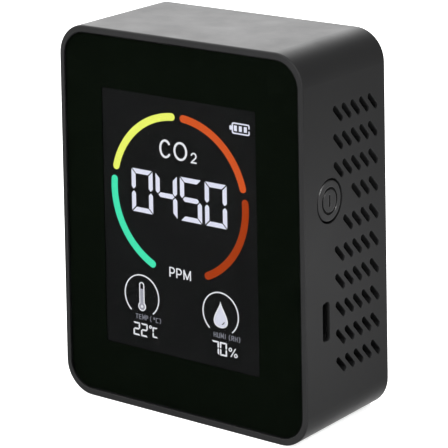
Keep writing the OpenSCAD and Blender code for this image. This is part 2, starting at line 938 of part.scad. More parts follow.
module capacitors() {
    color([0.62, 0.5, 0.36]) face_frame() {
        for (i = [0:4]) {
            on_board([1.6, 0.8, 0.8], [-22, -4 + 2.2 * i]);
            on_board([1.6, 0.8, 0.8], [6, -14 - 2.2 * i]);
        }
        for (i = [0:2])
            on_board([3.2, 1.6, 1.6], [11.5, -16 - 4 * i]);
    }
}

module resistors() {
    color([0.08, 0.08, 0.09]) face_frame() for (i = [0:4]) {
        on_board([0.8, 1.6, 0.45], [-17 + 2 * i, -8]);
        on_board([0.8, 1.6, 0.45], [-14 + 2 * i, 14]);
    }
}

module humidity_sensor() {
    size = [3, 3, 1];
    at = [-28, -8];
    color([0.12, 0.12, 0.13]) face_frame() difference() {
        on_board(size, at);
        translate([at[0], at[1], board_back_z - size[2] - past]) cylinder(r = 0.6, h = 0.4 + past);
    }
}

module buzzer() {
    h = 4;
    color([0.06, 0.06, 0.06]) face_frame() translate([-20, 25, board_back_z - h]) difference() {
        cylinder(r = 4.5, h = h);
        translate([0, 0, -past]) cylinder(r = 1, h = 1.5 + past);
    }
}

// --- Port ---

module port_outline(inset) {
    rounded_rect([port_size[1] - 2 * inset, port_size[2] - 2 * inset], 1.45 - inset);
}

// Runs a section of the port from distance a to distance b behind its mouth
module port_run(a, b) {
    translate([port_mouth_x - b, port_y, port_z]) facing_right() rotate(90)
        linear_extrude(b - a) children();
}

module port_shell() {
    color([0.72, 0.72, 0.74]) face_frame() difference() {
        port_run(0, port_size[0]) port_outline(0);
        port_run(-past, port_size[0] - port_skin) port_outline(port_skin);
    }
}

module port_tongue() {
    base = 2.2;
    color([0.05, 0.05, 0.05]) face_frame() {
        port_run(port_size[0] - port_skin - base, port_size[0] - port_skin)
            port_outline(port_skin);
        port_run(0.6, port_size[0] - base) square([6.7, 0.7], center = true);
    }
}

// --- Button and switch ---

// Places a turned part on the button's axis, its x = 0 at the given x of the case
module on_button_axis(x) {
    translate([x, button_y, button_z]) facing_right() children();
}

module button_section() {
    r = button_d / 2;
    edge = 0.5;
    stem_r = 2;
    stem_len = button_seat_x - button_flange_t - plunger_tip_x - contact_gap;
    difference() {
        union() {
            translate([0, -join]) square([r, button_cap_t + join]);
            translate([0, -button_flange_t]) square([button_flange_r, button_flange_t]);
            translate([0, -button_flange_t - stem_len]) square([stem_r, stem_len + join]);
        }
        translate([r - edge, button_cap_t - edge]) rounding_cutter(edge);
    }
}

// The engraved on/off mark: a circle with an upright bar in it
module power_button() {
    color([0.16, 0.16, 0.165]) face_frame() on_button_axis(button_seat_x) difference() {
        rotate_extrude($fn = fine_fn) button_section();
        translate([0, 0, button_cap_t - mark_depth]) linear_extrude(mark_depth + past) {
            difference() {
                circle(mark_r + mark_w / 2);
                circle(mark_r - mark_w / 2);
            }
            square([mark_w, mark_bar], center = true);
        }
    }
}

module switch_body() {
    color([0.1, 0.1, 0.1]) face_frame() difference() {
        translate([switch_face_x - switch_size[0] / 2, button_y, board_back_z - switch_size[2] / 2])
            cube(switch_size, center = true);
        on_button_axis(switch_room_x)
            cylinder(r = switch_room_r, h = switch_face_x - switch_lid - switch_room_x);
        on_button_axis(switch_room_x)
            cylinder(r = plunger_r + plunger_gap, h = switch_face_x - switch_room_x + past);
    }
}

module switch_dome() {
    base_r = switch_room_r - 0.1;
    crown_r = (base_r * base_r + dome_h * dome_h) / (2 * dome_h);
    color([0.78, 0.77, 0.72]) face_frame() on_button_axis(switch_room_x)
        rotate_extrude($fn = fine_fn) intersection() {
            translate([0, dome_h - crown_r]) difference() {
                circle(crown_r);
                circle(crown_r - dome_t);
            }
            square([base_r, dome_h + past]);
        }
}

module switch_plunger() {
    flange_r = 2.4;
    flange_t = 0.7;
    foot_r = 0.8;
    foot_gap = button_travel + 0.05;
    flange_x = switch_face_x - switch_lid - 0.1 - flange_t;
    foot_x = switch_room_x + dome_h + foot_gap;
    color([0.85, 0.84, 0.8]) face_frame() {
        on_button_axis(flange_x) cylinder(r = plunger_r, h = plunger_tip_x - flange_x);
        on_button_axis(flange_x) cylinder(r = flange_r, h = flange_t);
        on_button_axis(foot_x) cylinder(r = foot_r, h = flange_x - foot_x + join);
    }
}

// --- Sensor module ---

module sensor_board() {
    color([0.05, 0.3, 0.2]) face_frame()
        translate([sensor_at[0], sensor_at[1], sensor_board_z - sensor_board_t / 2])
            cube([sensor_size[0], sensor_size[1], sensor_board_t], center = true);
}

module sensor_pins() {
    pin = 0.64;
    color([0.8, 0.68, 0.35]) face_frame() for (side = [-1, 1], i = [-2:2])
        translate([sensor_at[0] + 2.54 * i, sensor_at[1] + side * (sensor_size[1] / 2 - 1.2),
            sensor_board_z + sensor_standoff / 2])
            cube([pin, pin, sensor_standoff], center = true);
}

module sensor_chamber() {
    room = chamber_size - 2 * [chamber_wall, chamber_wall, chamber_wall / 2];
    color([0.82, 0.66, 0.32]) face_frame()
        translate([sensor_at[0], sensor_at[1], chamber_back_z]) difference() {
            translate([0, 0, chamber_size[2] / 2]) cube(chamber_size, center = true);
            translate([0, 0, chamber_wall + room[2] / 2 + join]) cube(
                [room[0], room[1], room[2] + 2 * join], center = true);
            cube([filter_size[0], filter_size[1], 2 * filter_size[2]], center = true);
            for (row = [-2:2])
                translate([0, 3.6 * row, 0]) cube([9, 1.6, 4 * chamber_wall], center = true);
        }
}

module sensor_filter() {
    color([0.95, 0.95, 0.94]) face_frame()
        translate([sensor_at[0], sensor_at[1], chamber_back_z + filter_size[2] / 2])
            cube([filter_size[0] - 0.1, filter_size[1] - 0.1, filter_size[2]], center = true);
}

module infrared_lamp() {
    color([0.85, 0.85, 0.8]) face_frame()
        translate([sensor_at[0], sensor_at[1] - 11, sensor_board_z - sensor_board_t - 4]) {
            cylinder(r = 1.5, h = 4);
            sphere(1.5);
        }
}

module infrared_detector() {
    color([0.75, 0.73, 0.68]) face_frame()
        translate([sensor_at[0], sensor_at[1] + 10.5, sensor_board_z - sensor_board_t - 2.6]) {
            cylinder(r = 2.3, h = 2.6);
            translate([0, 0, 2.2]) cylinder(r = 2.7, h = 0.4);
        }
}

// --- Battery ---

module battery_cell() {
    edge_r = 1.6;
    tab = [20, 2];
    color([0.75, 0.77, 0.8]) face_frame()
        translate([battery_at[0], battery_at[1], battery_back_z + battery_size[2] / 2]) {
            rotate([90, 0, 0]) linear_extrude(battery_size[1], center = true)
                rounded_rect([battery_size[0], battery_size[2]], edge_r);
            translate([0, battery_size[1] / 2 + tab[1] / 2 - join, 0])
                cube([tab[0], tab[1] + join, 1.2], center = true);
        }
}

module battery_pad() {
    color([0.2, 0.2, 0.2]) face_frame()
        translate([battery_at[0], battery_at[1], cover_seat_z + pad_t / 2])
            cube([battery_size[0] - 6, battery_size[1] - 6, pad_t], center = true);
}

module battery_socket() {
    color([0.92, 0.9, 0.84]) face_frame() difference() {
        on_board(socket_size, socket_at);
        translate([socket_at[0], socket_at[1], board_back_z - socket_size[2]]) cube(
            [socket_size[0] - 2 * socket_wall, socket_size[1] - 2 * socket_wall,
                2 * (socket_size[2] - socket_wall)], center = true);
    }
}

module battery_plug() {
    color([0.95, 0.94, 0.9]) face_frame()
        translate([socket_at[0], socket_at[1], plug_back_z + plug_size[2] / 2]) difference() {
            cube(plug_size, center = true);
            for (s = [-1, 1])
                translate([s * lead_pitch / 2, 0, -plug_size[2] / 2]) cylinder(r = lead_r + 0.05,
                    h = 4, center = true);
        }
}

// One lead, from the plug back, up over the battery's top edge and down to its tab.
// Inside this module z runs up the case and x runs back.
module battery_lead(x) {
    start = 1.8;
    plug_x = -plug_back_z;
    run_x = plug_x + lead_bend;
    tab_x = -(battery_back_z + battery_size[2] / 2);
    tab_end = battery_at[1] + battery_size[1] / 2 + 2.2;
    turn_y = tab_end + 1 + lead_bend;
    quarter = 90;
    translate([x, 0, 0]) rotate([-90, 90, 0]) mirror([0, 1, 0]) {
        // out of the plug, then a bend upwards
        translate([plug_x - start, 0, socket_at[1]]) rotate([0, 90, 0]) cylinder(r = lead_r, h = start);
        translate([plug_x, 0, socket_at[1] + lead_bend]) rotate([90, 0, 0]) rotate(-quarter)
            rotate_extrude(angle = quarter) translate([lead_bend, 0]) circle(lead_r);
        // up the case, then a bend backwards
        translate([run_x, 0, socket_at[1] + lead_bend])
            cylinder(r = lead_r, h = turn_y - socket_at[1] - lead_bend);
        translate([run_x + lead_bend, 0, turn_y]) rotate([90, 0, 0]) rotate(quarter)
            rotate_extrude(angle = quarter) translate([lead_bend, 0]) circle(lead_r);
        // back to the battery, then a bend down to the tab
        translate([run_x + lead_bend, 0, turn_y + lead_bend]) rotate([0, 90, 0])
            cylinder(r = lead_r, h = tab_x - run_x - 2 * lead_bend);
        translate([tab_x - lead_bend, 0, turn_y]) rotate([90, 0, 0])
            rotate_extrude(angle = quarter) translate([lead_bend, 0]) circle(lead_r);
        translate([tab_x, 0, tab_end]) cylinder(r = lead_r, h = turn_y - tab_end);
    }
}

module battery_lead_red() {
    color([0.7, 0.08, 0.06]) face_frame() battery_lead(socket_at[0] - lead_pitch / 2);
}

module battery_lead_black() {
    color([0.05, 0.05, 0.05]) face_frame() battery_lead(socket_at[0] + lead_pitch / 2);
}

front_shell();
rear_cover();
cover_screws();
front_window();
window_print();
window_tape();
gauge_bar_green();
gauge_bar_yellow();
gauge_bar_orange();
gauge_bar_red();
reading_digits();
quantity_marks();
climate_dials();
climate_fills();
climate_readouts();
climate_captions();
battery_symbol();
front_polariser();
front_glass();
rear_glass();
rear_polariser();
display_gasket();
diffuser_sheet();
light_guide();
reflector_sheet();
backlight_leds();
backlight_strip();
display_holder();
contact_strip();
main_board();
board_screws();
controller_chip();
driver_chip();
charger_chip();
inductor();
capacitors();
resistors();
humidity_sensor();
buzzer();
port_shell();
port_tongue();
power_button();
switch_body();
switch_dome();
switch_plunger();
sensor_board();
sensor_pins();
sensor_chamber();
sensor_filter();
infrared_lamp();
infrared_detector();
battery_cell();
battery_pad();
battery_socket();
battery_plug();
battery_lead_red();
battery_lead_black();
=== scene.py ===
"""Studio view of a palm-size carbon dioxide monitor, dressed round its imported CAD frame."""
import math

import bmesh
import bpy
from mathutils import Matrix, Vector


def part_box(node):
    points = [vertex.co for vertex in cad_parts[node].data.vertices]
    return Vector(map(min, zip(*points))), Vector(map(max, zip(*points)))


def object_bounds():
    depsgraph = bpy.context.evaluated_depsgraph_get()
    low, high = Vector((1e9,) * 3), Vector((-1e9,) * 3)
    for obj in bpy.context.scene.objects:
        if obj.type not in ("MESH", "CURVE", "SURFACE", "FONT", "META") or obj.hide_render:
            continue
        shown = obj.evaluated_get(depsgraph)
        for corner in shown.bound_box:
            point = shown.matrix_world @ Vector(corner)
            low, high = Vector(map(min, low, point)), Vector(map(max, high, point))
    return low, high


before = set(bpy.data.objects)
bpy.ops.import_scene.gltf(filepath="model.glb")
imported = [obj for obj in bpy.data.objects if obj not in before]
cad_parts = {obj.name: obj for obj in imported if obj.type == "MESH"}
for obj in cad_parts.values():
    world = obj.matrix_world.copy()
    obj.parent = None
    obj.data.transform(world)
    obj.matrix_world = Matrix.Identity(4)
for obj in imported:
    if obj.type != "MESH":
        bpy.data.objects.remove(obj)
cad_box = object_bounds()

MM = 0.001                   # metres
scene = bpy.context.scene
low, high = cad_box
centre = (low + high) / 2

# --- Node trees ---

BEVEL_SAMPLES = 6
BEVEL_TURN = (0.995, 0.8)    # cosine of the bevel's turn: flat face, and full edge


class Tree:
    """Short-hand for building one material's or the world's node tree."""

    def __init__(self, owner):
        owner.use_nodes = True
        self.tree = owner.node_tree
        self.tree.nodes.clear()

    def add(self, kind, settings=None, **inputs):
        """A node of a kind, with its inputs, by name, set to values or linked from sockets."""
        node = self.tree.nodes.new(kind)
        for key, value in (settings or {}).items():
            setattr(node, key, value)
        for key, value in inputs.items():
            self.put(node.inputs[key.replace("_", " ")], value)
        return node

    def put(self, socket, value):
        """Links another node's socket to this one, or sets a plain value."""
        if isinstance(value, bpy.types.NodeSocket):
            self.tree.links.new(value, socket)
        else:
            socket.default_value = value

    def math(self, operation, first, second=0.0):
        """The result of one sum on values or sockets."""
        node = self.tree.nodes.new("ShaderNodeMath")
        node.operation = operation
        self.put(node.inputs[0], first)
        self.put(node.inputs[1], second)
        return node.outputs[0]

    def times(self, first, *others):
        """The product of two or more values."""
        for other in others:
            first = self.math("MULTIPLY", first, other)
        return first

    def ramp(self, value, start, end, out_start=0.0, out_end=1.0):
        """value mapped from start..end to out_start..out_end, held at the ends."""
        node = self.tree.nodes.new("ShaderNodeMapRange")
        for socket, item in zip(node.inputs, (value, start, end, out_start, out_end)):
            self.put(socket, item)
        return node.outputs[0]

    def mix(self, share, first, second):
        """The first colour where share is 0, the second where it is 1."""
        node = self.tree.nodes.new("ShaderNodeMix")
        node.data_type = "RGBA"
        for index, item in ((0, share), (6, first), (7, second)):
            self.put(node.inputs[index], item)
        return node.outputs[2]

    def place(self):
        """Where a point of the surface is, in metres, in the CAD's frame."""
        return self.add("ShaderNodeTexCoord").outputs["Object"]

    def axes(self, vector=None):
        """The X, Y and Z sockets of a vector, or of the point's place."""
        return self.add("ShaderNodeSeparateXYZ", Vector=vector or self.place()).outputs

    def stretch(self, scale):
        """The point's place with each axis scaled, for patterns longer one way than another."""
        mapping = self.add("ShaderNodeMapping", Vector=self.place())
        mapping.inputs["Scale"].default_value = scale
        return mapping.outputs[0]

    def noise(self, size_mm, detail=3.0, vector=None, roughness=0.5):
        """Noise of 0 to 1 whose lumps are about size_mm across."""
        node = self.add(
            "ShaderNodeTexNoise", Vector=vector or self.place(), Scale=1 / (size_mm * MM),
            Detail=detail, Roughness=roughness)
        return node.outputs[0]

    def cells(self, size_mm, distance="EUCLIDEAN"):
        """How far a point is from the middle of its cell, in cells about size_mm across."""
        node = self.add("ShaderNodeTexVoronoi", {"distance": distance}, Vector=self.place(),
                        Scale=1 / (size_mm * MM))
        return node.outputs["Distance"]

    def bump(self, height, depth_mm, normal=None):
        """Shading normal over relief depth_mm deep, on top of another normal if one is given."""
        node = self.add("ShaderNodeBump", Height=height, Distance=depth_mm * MM, Strength=1.0)
        if normal is not None:
            self.put(node.inputs["Normal"], normal)
        return node.outputs[0]

    def rounded(self, radius_mm):
        """Shading normal with every edge rounded, and how near an edge a point is, 0 to 1."""
        bevel = self.add("ShaderNodeBevel", {"samples": BEVEL_SAMPLES}, Radius=radius_mm * MM)
        bevel = bevel.outputs[0]
        flat = self.add("ShaderNodeNewGeometry").outputs["Normal"]
        dot = self.add("ShaderNodeVectorMath", {"operation": "DOT_PRODUCT"})
        self.put(dot.inputs[0], bevel)
        self.put(dot.inputs[1], flat)
        return bevel, self.ramp(dot.outputs["Value"], *BEVEL_TURN)

    def surface(self, shader):
        self.put(self.add("ShaderNodeOutputMaterial").inputs["Surface"], shader)

    def joined(self, kind, first, second, **inputs):
        """Output of a node that mixes or adds two shaders."""
        node = self.add(kind, **inputs)
        self.put(node.inputs[-2], first)
        self.put(node.inputs[-1], second)
        return node.outputs[0]


def new_tree(name):
    """A new material and its empty tree."""
    material = bpy.data.materials.new(name)
    return material, Tree(material)


def rgba(colour, factor=1.0):
    """A colour with every channel times factor, as the nodes take it."""
    return tuple(min(1.0, channel * factor) for channel in colour[:3]) + (1.0,)


def spread(value, steps):
    """The value with each of two steps added."""
    return value + steps[0], value + steps[1]


# --- Materials ---

# Sizes are in mm unless they are times MM. A band is the range of a pattern over which something
# changes, and a spread is what is added to the roughness at the band's two ends.

CASE = (0.021, 0.021, 0.0215)
CASE_CORNER = 7.8 * MM
# Depths below the outer faces where the painted shade begins, on the case and on the button.
CASE_SHADE_DEPTH = 0.3 * MM
BUTTON_SHADE_DEPTH = 0.105 * MM
WINDOW_CORNER = 6.4 * MM
WINDOW_EDGE = 0.1 * MM
WINDOW_EDGE_TONE = 0.5
INK_GAP = 0.003 * MM
NOISE_BAND = (0.3, 0.7)


def near_outline(t, box, corner, depth):
    """1 within depth of a box's outline seen from the front, whose corners are rounded, 0 inside."""
    point = t.add("ShaderNodeVectorMath", {"operation": "SUBTRACT"})
    t.put(point.inputs[0], t.place())
    t.put(point.inputs[1], tuple((box[0] + box[1]) / 2))
    parts = t.axes(point.outputs["Vector"])
    half = (box[1] - box[0]) / 2
    across = t.math("SUBTRACT", t.math("ABSOLUTE", parts["X"]), half.x - corner)
    upward = t.math("SUBTRACT", t.math("ABSOLUTE", parts["Z"]), half.z - corner)
    across = t.math("POWER", t.math("MAXIMUM", across, 0.0), 2.0)
    upward = t.math("POWER", t.math("MAXIMUM", upward, 0.0), 2.0)
    reach = t.math("SQRT", t.math("ADD", across, upward))
    return t.ramp(reach, corner - 2 * depth, corner - depth)


def unshaded_outer_band(t, depth):
    """1 close to the case's outer faces and 0 deeper, as on slot walls, gaps and the inside: the
    mask for moulded's painted shade.
    """
    reach = t.math("ABSOLUTE", t.math("SUBTRACT", t.axes()["Y"], centre.y))
    half_depth = high.y - centre.y
    front = t.ramp(reach, half_depth - 2 * depth, half_depth - depth)
    return t.math("MAXIMUM", near_outline(t, cad_box, CASE_CORNER, depth), front)


MARK_SIZE = 14.0
MARK_TONES = (0.88, 1.12)
MARK_SPREAD = (-0.04, 0.05)
WEAR_SIZE = 3.5
WEAR_BAND = (0.35, 0.7)
WEAR_SHARES = (0.25, 1.0)
WORN_LIFT = 0.05
WORN_TONE = 1.5
WORN_POLISH = 0.1
# Share of the sheen kept where shade is painted, times deep.
SHADED_SHEEN = 0.8


def moulded(name, colour, roughness=0.45, grain=0.3, depth=0.006, edge=0.2, wear=0.35,
            sheen=0.5, painted_shade_depth=None, deep=0.5):
    """Moulded plastic: sparked-mould texture, faint handling marks, edges polished by use.

    Below the given depth from the case's outer faces, as on slot walls, gaps and the inside, shade
    is painted: a darker tone, of which deep is the share, and less sheen.
    """
    material, t = new_tree(name)
    soft, near_edge = t.rounded(edge)
    texture = t.noise(grain, detail=2.0)
    marks = t.noise(MARK_SIZE, detail=4.0, roughness=0.65)
    worn = t.times(near_edge, t.ramp(t.noise(WEAR_SIZE), *WEAR_BAND, *WEAR_SHARES))
    tone = t.mix(marks, rgba(colour, MARK_TONES[0]), rgba(colour, MARK_TONES[1]))
    worn_colour = rgba([channel + WORN_LIFT for channel in colour], WORN_TONE)
    tone = t.mix(t.times(worn, wear), tone, worn_colour)
    gloss = sheen
    # Painted shade: deeper than the given depth, the tone darkens and the sheen drops.
    if painted_shade_depth:
        unshaded = unshaded_outer_band(t, painted_shade_depth)
        tone = t.mix(unshaded, rgba(colour, deep), tone)
        gloss = t.ramp(unshaded, 0.0, 1.0, SHADED_SHEEN * deep * sheen, sheen)
    rough = t.ramp(marks, *NOISE_BAND, *spread(roughness, MARK_SPREAD))
    rough = t.math("SUBTRACT", rough, t.times(worn, WORN_POLISH))
    shader = t.add("ShaderNodeBsdfPrincipled", Base_Color=tone, Roughness=rough,
                   Normal=t.bump(texture, depth, soft))
    t.put(shader.inputs["Specular IOR Level"], gloss)
    t.surface(shader.outputs[0])
    return material


SMEAR_SIZE = 11.0
SMEAR_BAND = (0.45, 0.75)
GLASS_ROUGHNESS = (0.015, 0.065)
RIPPLE_SIZE = 9.0
RIPPLE_DEPTH = 0.004


def clear_glass(name, tint=(0.98, 0.99, 0.99), ior=1.49, cut_edge=None):
    """Polished clear sheet: bends what is seen through it, lets light through, faint smears.

    cut_edge, the box, corner radius and width of a sheet's outline, makes its edge dark.
    """
    material, t = new_tree(name)
    smears = t.noise(SMEAR_SIZE, detail=5.0, roughness=0.7)
    rough = t.ramp(smears, *SMEAR_BAND, *GLASS_ROUGHNESS)
    ripple = t.bump(t.noise(RIPPLE_SIZE, detail=1.0), RIPPLE_DEPTH)
    glass = t.add("ShaderNodeBsdfGlass", Color=rgba(tint), Roughness=rough, IOR=ior, Normal=ripple)
    clear = t.add("ShaderNodeBsdfTransparent", Color=rgba(tint))
    rays = t.add("ShaderNodeLightPath").outputs
    through = t.math("MAXIMUM", rays["Is Shadow Ray"], rays["Is Diffuse Ray"])
    shader = t.joined("ShaderNodeMixShader", glass.outputs[0], clear.outputs[0], Fac=through)
    if cut_edge:
        dark = t.add("ShaderNodeBsdfDiffuse", Color=rgba(CASE, WINDOW_EDGE_TONE)).outputs[0]
        shader = t.joined("ShaderNodeMixShader", shader, dark, Fac=near_outline(t, *cut_edge))
    t.surface(shader)
    return material


CLOUD_SIZE = 2.2
CLOUD_BAND = (0.25, 0.75)
CLOUD_LEVELS = (0.94, 1.0)
FOOT_AND_TOP_LEVELS = (0.95, 1.0)
UNLIT_TONE = 0.04
UNLIT_SHEEN = 0.1


def lit(name, colour, left=1.0, right=1.0):
    """A backlit area: glow with the light guide's faint cloudiness and a dimmer lower end.

    left and right are its levels on the two sides of the case's centre plane.
    """
    material, t = new_tree(name)
    cloud = t.ramp(t.noise(CLOUD_SIZE, detail=2.0), *CLOUD_BAND, *CLOUD_LEVELS)
    fall = t.ramp(t.axes()["Z"], low.z, high.z, *FOOT_AND_TOP_LEVELS)
    level = t.ramp(t.axes()["X"], -MM, MM, left, right)
    glow = t.add("ShaderNodeEmission", Color=rgba(colour), Strength=t.times(cloud, fall, level))
    film = t.add("ShaderNodeBsdfPrincipled", Base_Color=rgba(colour, UNLIT_TONE), Roughness=0.4)
    t.put(film.inputs["Specular IOR Level"], UNLIT_SHEEN)
    t.surface(t.joined("ShaderNodeAddShader", glow.outputs[0], film.outputs[0]))
    return material


DRAWN_SIZE = 5.0
DRAWN_STRETCH = (40.0, 1.0, 1.0)
DRAWN_DEPTH = 0.004
DRAWN_SPREAD = (-0.08, 0.1)
TARNISH_SIZE = 4.0
TARNISH_TONES = (0.8, 1.1)
METAL_EDGE = 0.08
METAL_EDGE_TONE = 1.35


def metal(name, colour, roughness=0.3):
    """Plain metal with a drawn grain along one axis and tarnished patches."""
    material, t = new_tree(name)
    soft, near_edge = t.rounded(METAL_EDGE)
    lines = t.noise(DRAWN_SIZE, detail=4.0, vector=t.stretch(DRAWN_STRETCH))
    tone = t.mix(t.noise(TARNISH_SIZE), rgba(colour, TARNISH_TONES[0]),
                 rgba(colour, TARNISH_TONES[1]))
    tone = t.mix(near_edge, tone, rgba(colour, METAL_EDGE_TONE))
    rough = t.ramp(lines, *NOISE_BAND, *spread(roughness, DRAWN_SPREAD))
    shader = t.add("ShaderNodeBsdfPrincipled", Base_Color=tone, Metallic=1.0, Roughness=rough,
                   Normal=t.bump(lines, DRAWN_DEPTH, soft))
    t.surface(shader.outputs[0])
    return material


PIT_SIZE = 0.35
PIT_BAND = (0.0, 0.6)
PIT_DEPTH = 0.08
PIT_TONES = (0.5, 1.3)


def foam(name, colour):
    """Closed-cell foam: small pits over a matt skin."""
    material, t = new_tree(name)
    pits = t.cells(PIT_SIZE)
    tone = t.mix(t.ramp(pits, *PIT_BAND), rgba(colour, PIT_TONES[0]), rgba(colour, PIT_TONES[1]))
    shader = t.add("ShaderNodeBsdfPrincipled", Base_Color=tone, Roughness=0.9,
                   Normal=t.bump(pits, PIT_DEPTH))
    t.surface(shader.outputs[0])
    return material


POUR_SIZE = 3.2
TRACK_SPACING = 0.09         # of a pour
TRACK_BAND = (0.028, 0.04)
TRACK_HEIGHT = 0.03
HOLE_SPACING = 2.9
HOLE_BAND = (0.1, 0.13)
MASK_DARK = (0.012, 0.1, 0.04)
MASK_LIGHT = (0.03, 0.2, 0.08)
HOLE_PLATING = (0.5, 0.42, 0.25)


def circuit_board(name):
    """Solder mask over copper: broad pours, fine tracks and a scatter of plated holes."""
    material, t = new_tree(name)
    tracks = t.math("PINGPONG", t.cells(POUR_SIZE, distance="CHEBYCHEV"), TRACK_SPACING)
    lines = t.ramp(tracks, *TRACK_BAND)
    holes = t.ramp(t.cells(HOLE_SPACING), *HOLE_BAND)
    mask = t.mix(lines, rgba(MASK_DARK), rgba(MASK_LIGHT))
    tone = t.mix(holes, rgba(HOLE_PLATING), mask)
    shader = t.add("ShaderNodeBsdfPrincipled", Base_Color=tone, Roughness=0.32,
                   Metallic=t.math("SUBTRACT", 1.0, holes), Normal=t.bump(lines, TRACK_HEIGHT))
    t.surface(shader.outputs[0])
    return material


FOIL = (0.55, 0.57, 0.6)
FOIL_ROUGHNESS = (0.28, 0.42)
CREASE_SIZE = 5.0
CREASE_DEPTH = 0.25


def foil(name):
    """Laminated pouch foil: shallow creases over a satin metal."""
    material, t = new_tree(name)
    creases = t.noise(CREASE_SIZE, detail=6.0, roughness=0.6)
    rough = t.ramp(creases, *NOISE_BAND, *FOIL_ROUGHNESS)
    shader = t.add("ShaderNodeBsdfPrincipled", Base_Color=rgba(FOIL), Metallic=1.0,
                   Roughness=rough, Normal=t.bump(creases, CREASE_DEPTH))
    t.surface(shader.outputs[0])
    return material


FIBRE_SIZE = 0.4
FIBRE_STRETCH = (1, 1, 6)
FIBRE_HEIGHT = 0.06
FIBRE_DARK = (0.7, 0.7, 0.68)
FIBRE_LIGHT = (0.9, 0.9, 0.88)


def membrane(name):
    """Porous filter sheet: a tangle of fibres."""
    material, t = new_tree(name)
    fibres = t.noise(FIBRE_SIZE, detail=5.0, vector=t.stretch(FIBRE_STRETCH))
    tone = t.mix(fibres, rgba(FIBRE_DARK), rgba(FIBRE_LIGHT))
    shader = t.add("ShaderNodeBsdfPrincipled", Base_Color=tone, Roughness=0.85,
                   Normal=t.bump(fibres, FIBRE_HEIGHT))
    t.surface(shader.outputs[0])
    return material


TIN = (0.62, 0.62, 0.6)
TIN_ROUGHNESS = 0.25
LEAD_HEIGHT = 0.2 * MM
LEAD_FADE = 0.06 * MM
BODY_ROUGHNESS = 0.55
BODY_EDGE = 0.06
SPECKLE_SIZE = 0.25
SPECKLE_DEPTH = 0.01
SPECKLE_TONES = (0.7, 1.3)


def tinned_part(name, body):
    """A board part: matt body, bright tinned leads near the board."""
    material, t = new_tree(name)
    lead_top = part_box("main_board")[1].y + LEAD_HEIGHT
    is_body = t.ramp(t.axes()["Y"], lead_top, lead_top + LEAD_FADE)
    speckle = t.noise(SPECKLE_SIZE)
    matt = t.mix(speckle, rgba(body, SPECKLE_TONES[0]), rgba(body, SPECKLE_TONES[1]))
    shader = t.add("ShaderNodeBsdfPrincipled", Base_Color=t.mix(is_body, rgba(TIN), matt),
                   Metallic=t.math("SUBTRACT", 1.0, is_body),
                   Roughness=t.ramp(is_body, 0.0, 1.0, TIN_ROUGHNESS, BODY_ROUGHNESS),
                   Normal=t.bump(speckle, SPECKLE_DEPTH, t.rounded(BODY_EDGE)[0]))
    t.surface(shader.outputs[0])
    return material


# --- Which material each CAD node wears ---

BUTTON_TONE = 1.15
LIT_WHITE = (0.83, 0.83, 0.97)
LIT_SOFT = (0.87, 0.86, 0.9)


def dress(material, *nodes):
    """Puts one material on CAD nodes."""
    for name in nodes:
        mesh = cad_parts[name].data
        mesh.materials.clear()
        mesh.materials.append(material)


def dress_case():
    # Case and button get painted shade on their walls below the outer faces; the button's is darker.
    dress(moulded("case_plastic", CASE, painted_shade_depth=CASE_SHADE_DEPTH), "front_shell", "rear_cover")
    dress(moulded("button_plastic", rgba(CASE, BUTTON_TONE)[:3], roughness=0.38, edge=0.35,
                  wear=0.5, painted_shade_depth=BUTTON_SHADE_DEPTH, deep=0.3), "power_button")
    dress(metal("black_screw", (0.09, 0.09, 0.095), roughness=0.38), "cover_screws")


def clear_of_glass(name):
    """Draws a node's faces in by a hair, so that ink and glass share no plane."""
    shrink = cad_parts[name].modifiers.new("hair_gap", "DISPLACE")
    shrink.strength = -INK_GAP
    shrink.mid_level = 0.0


def dress_window():
    cut_edge = (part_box("front_window"), WINDOW_CORNER, WINDOW_EDGE)
    dress(clear_glass("window_clear", cut_edge=cut_edge), "front_window")
    dress(moulded("window_ink", (0.0021, 0.0031, 0.0019), roughness=0.3, grain=0.2, depth=0.001,
                  wear=0.0, sheen=0.0), "window_print")
    clear_of_glass("window_print")
    dress(foam("tape_black", (0.02, 0.02, 0.02)), "window_tape")


def dress_lit_parts():
    dress(lit("lit_green", (0.062, 0.83, 0.475)), "gauge_bar_green")
    dress(lit("lit_yellow", (0.9, 0.97, 0.15)), "gauge_bar_yellow")
    dress(lit("lit_orange", (0.68, 0.096, 0.017)), "gauge_bar_orange")
    dress(lit("lit_red", (0.4, 0.046, 0.005)), "gauge_bar_red")
    dress(lit("lit_white", LIT_WHITE), "reading_digits", "battery_symbol")
    dress(lit("lit_soft", LIT_SOFT), "quantity_marks", "climate_dials", "climate_readouts")
    dress(lit("lit_fill", LIT_WHITE, left=0.42, right=0.9), "climate_fills")
    dress(lit("lit_dim", LIT_WHITE, left=0.22, right=0.22), "climate_captions")


def dress_display():
    dress(moulded("display_film", (0.0048, 0.0048, 0.0049), roughness=0.35, grain=0.15,
                  depth=0.001, wear=0.0, sheen=0.1), "front_polariser", "rear_polariser")
    dress(clear_glass("display_glass", tint=(0.9, 0.96, 0.94), ior=1.52), "front_glass",
          "rear_glass")
    dress(clear_glass("guide_acrylic"), "light_guide")
    dress(foam("foam_black", (0.025, 0.025, 0.027)), "display_gasket", "battery_pad")
    dress(moulded("white_film", (0.82, 0.82, 0.8), roughness=0.6, grain=0.15), "diffuser_sheet",
          "reflector_sheet")
    dress(moulded("led_phosphor", (0.85, 0.78, 0.35), roughness=0.3), "backlight_leds")
    dress(moulded("flex_amber", (0.5, 0.24, 0.04), roughness=0.3), "backlight_strip")
    dress(moulded("holder_white", (0.74, 0.74, 0.7), roughness=0.5), "display_holder")
    dress(moulded("contact_rubber", (0.55, 0.15, 0.25), roughness=0.6), "contact_strip")


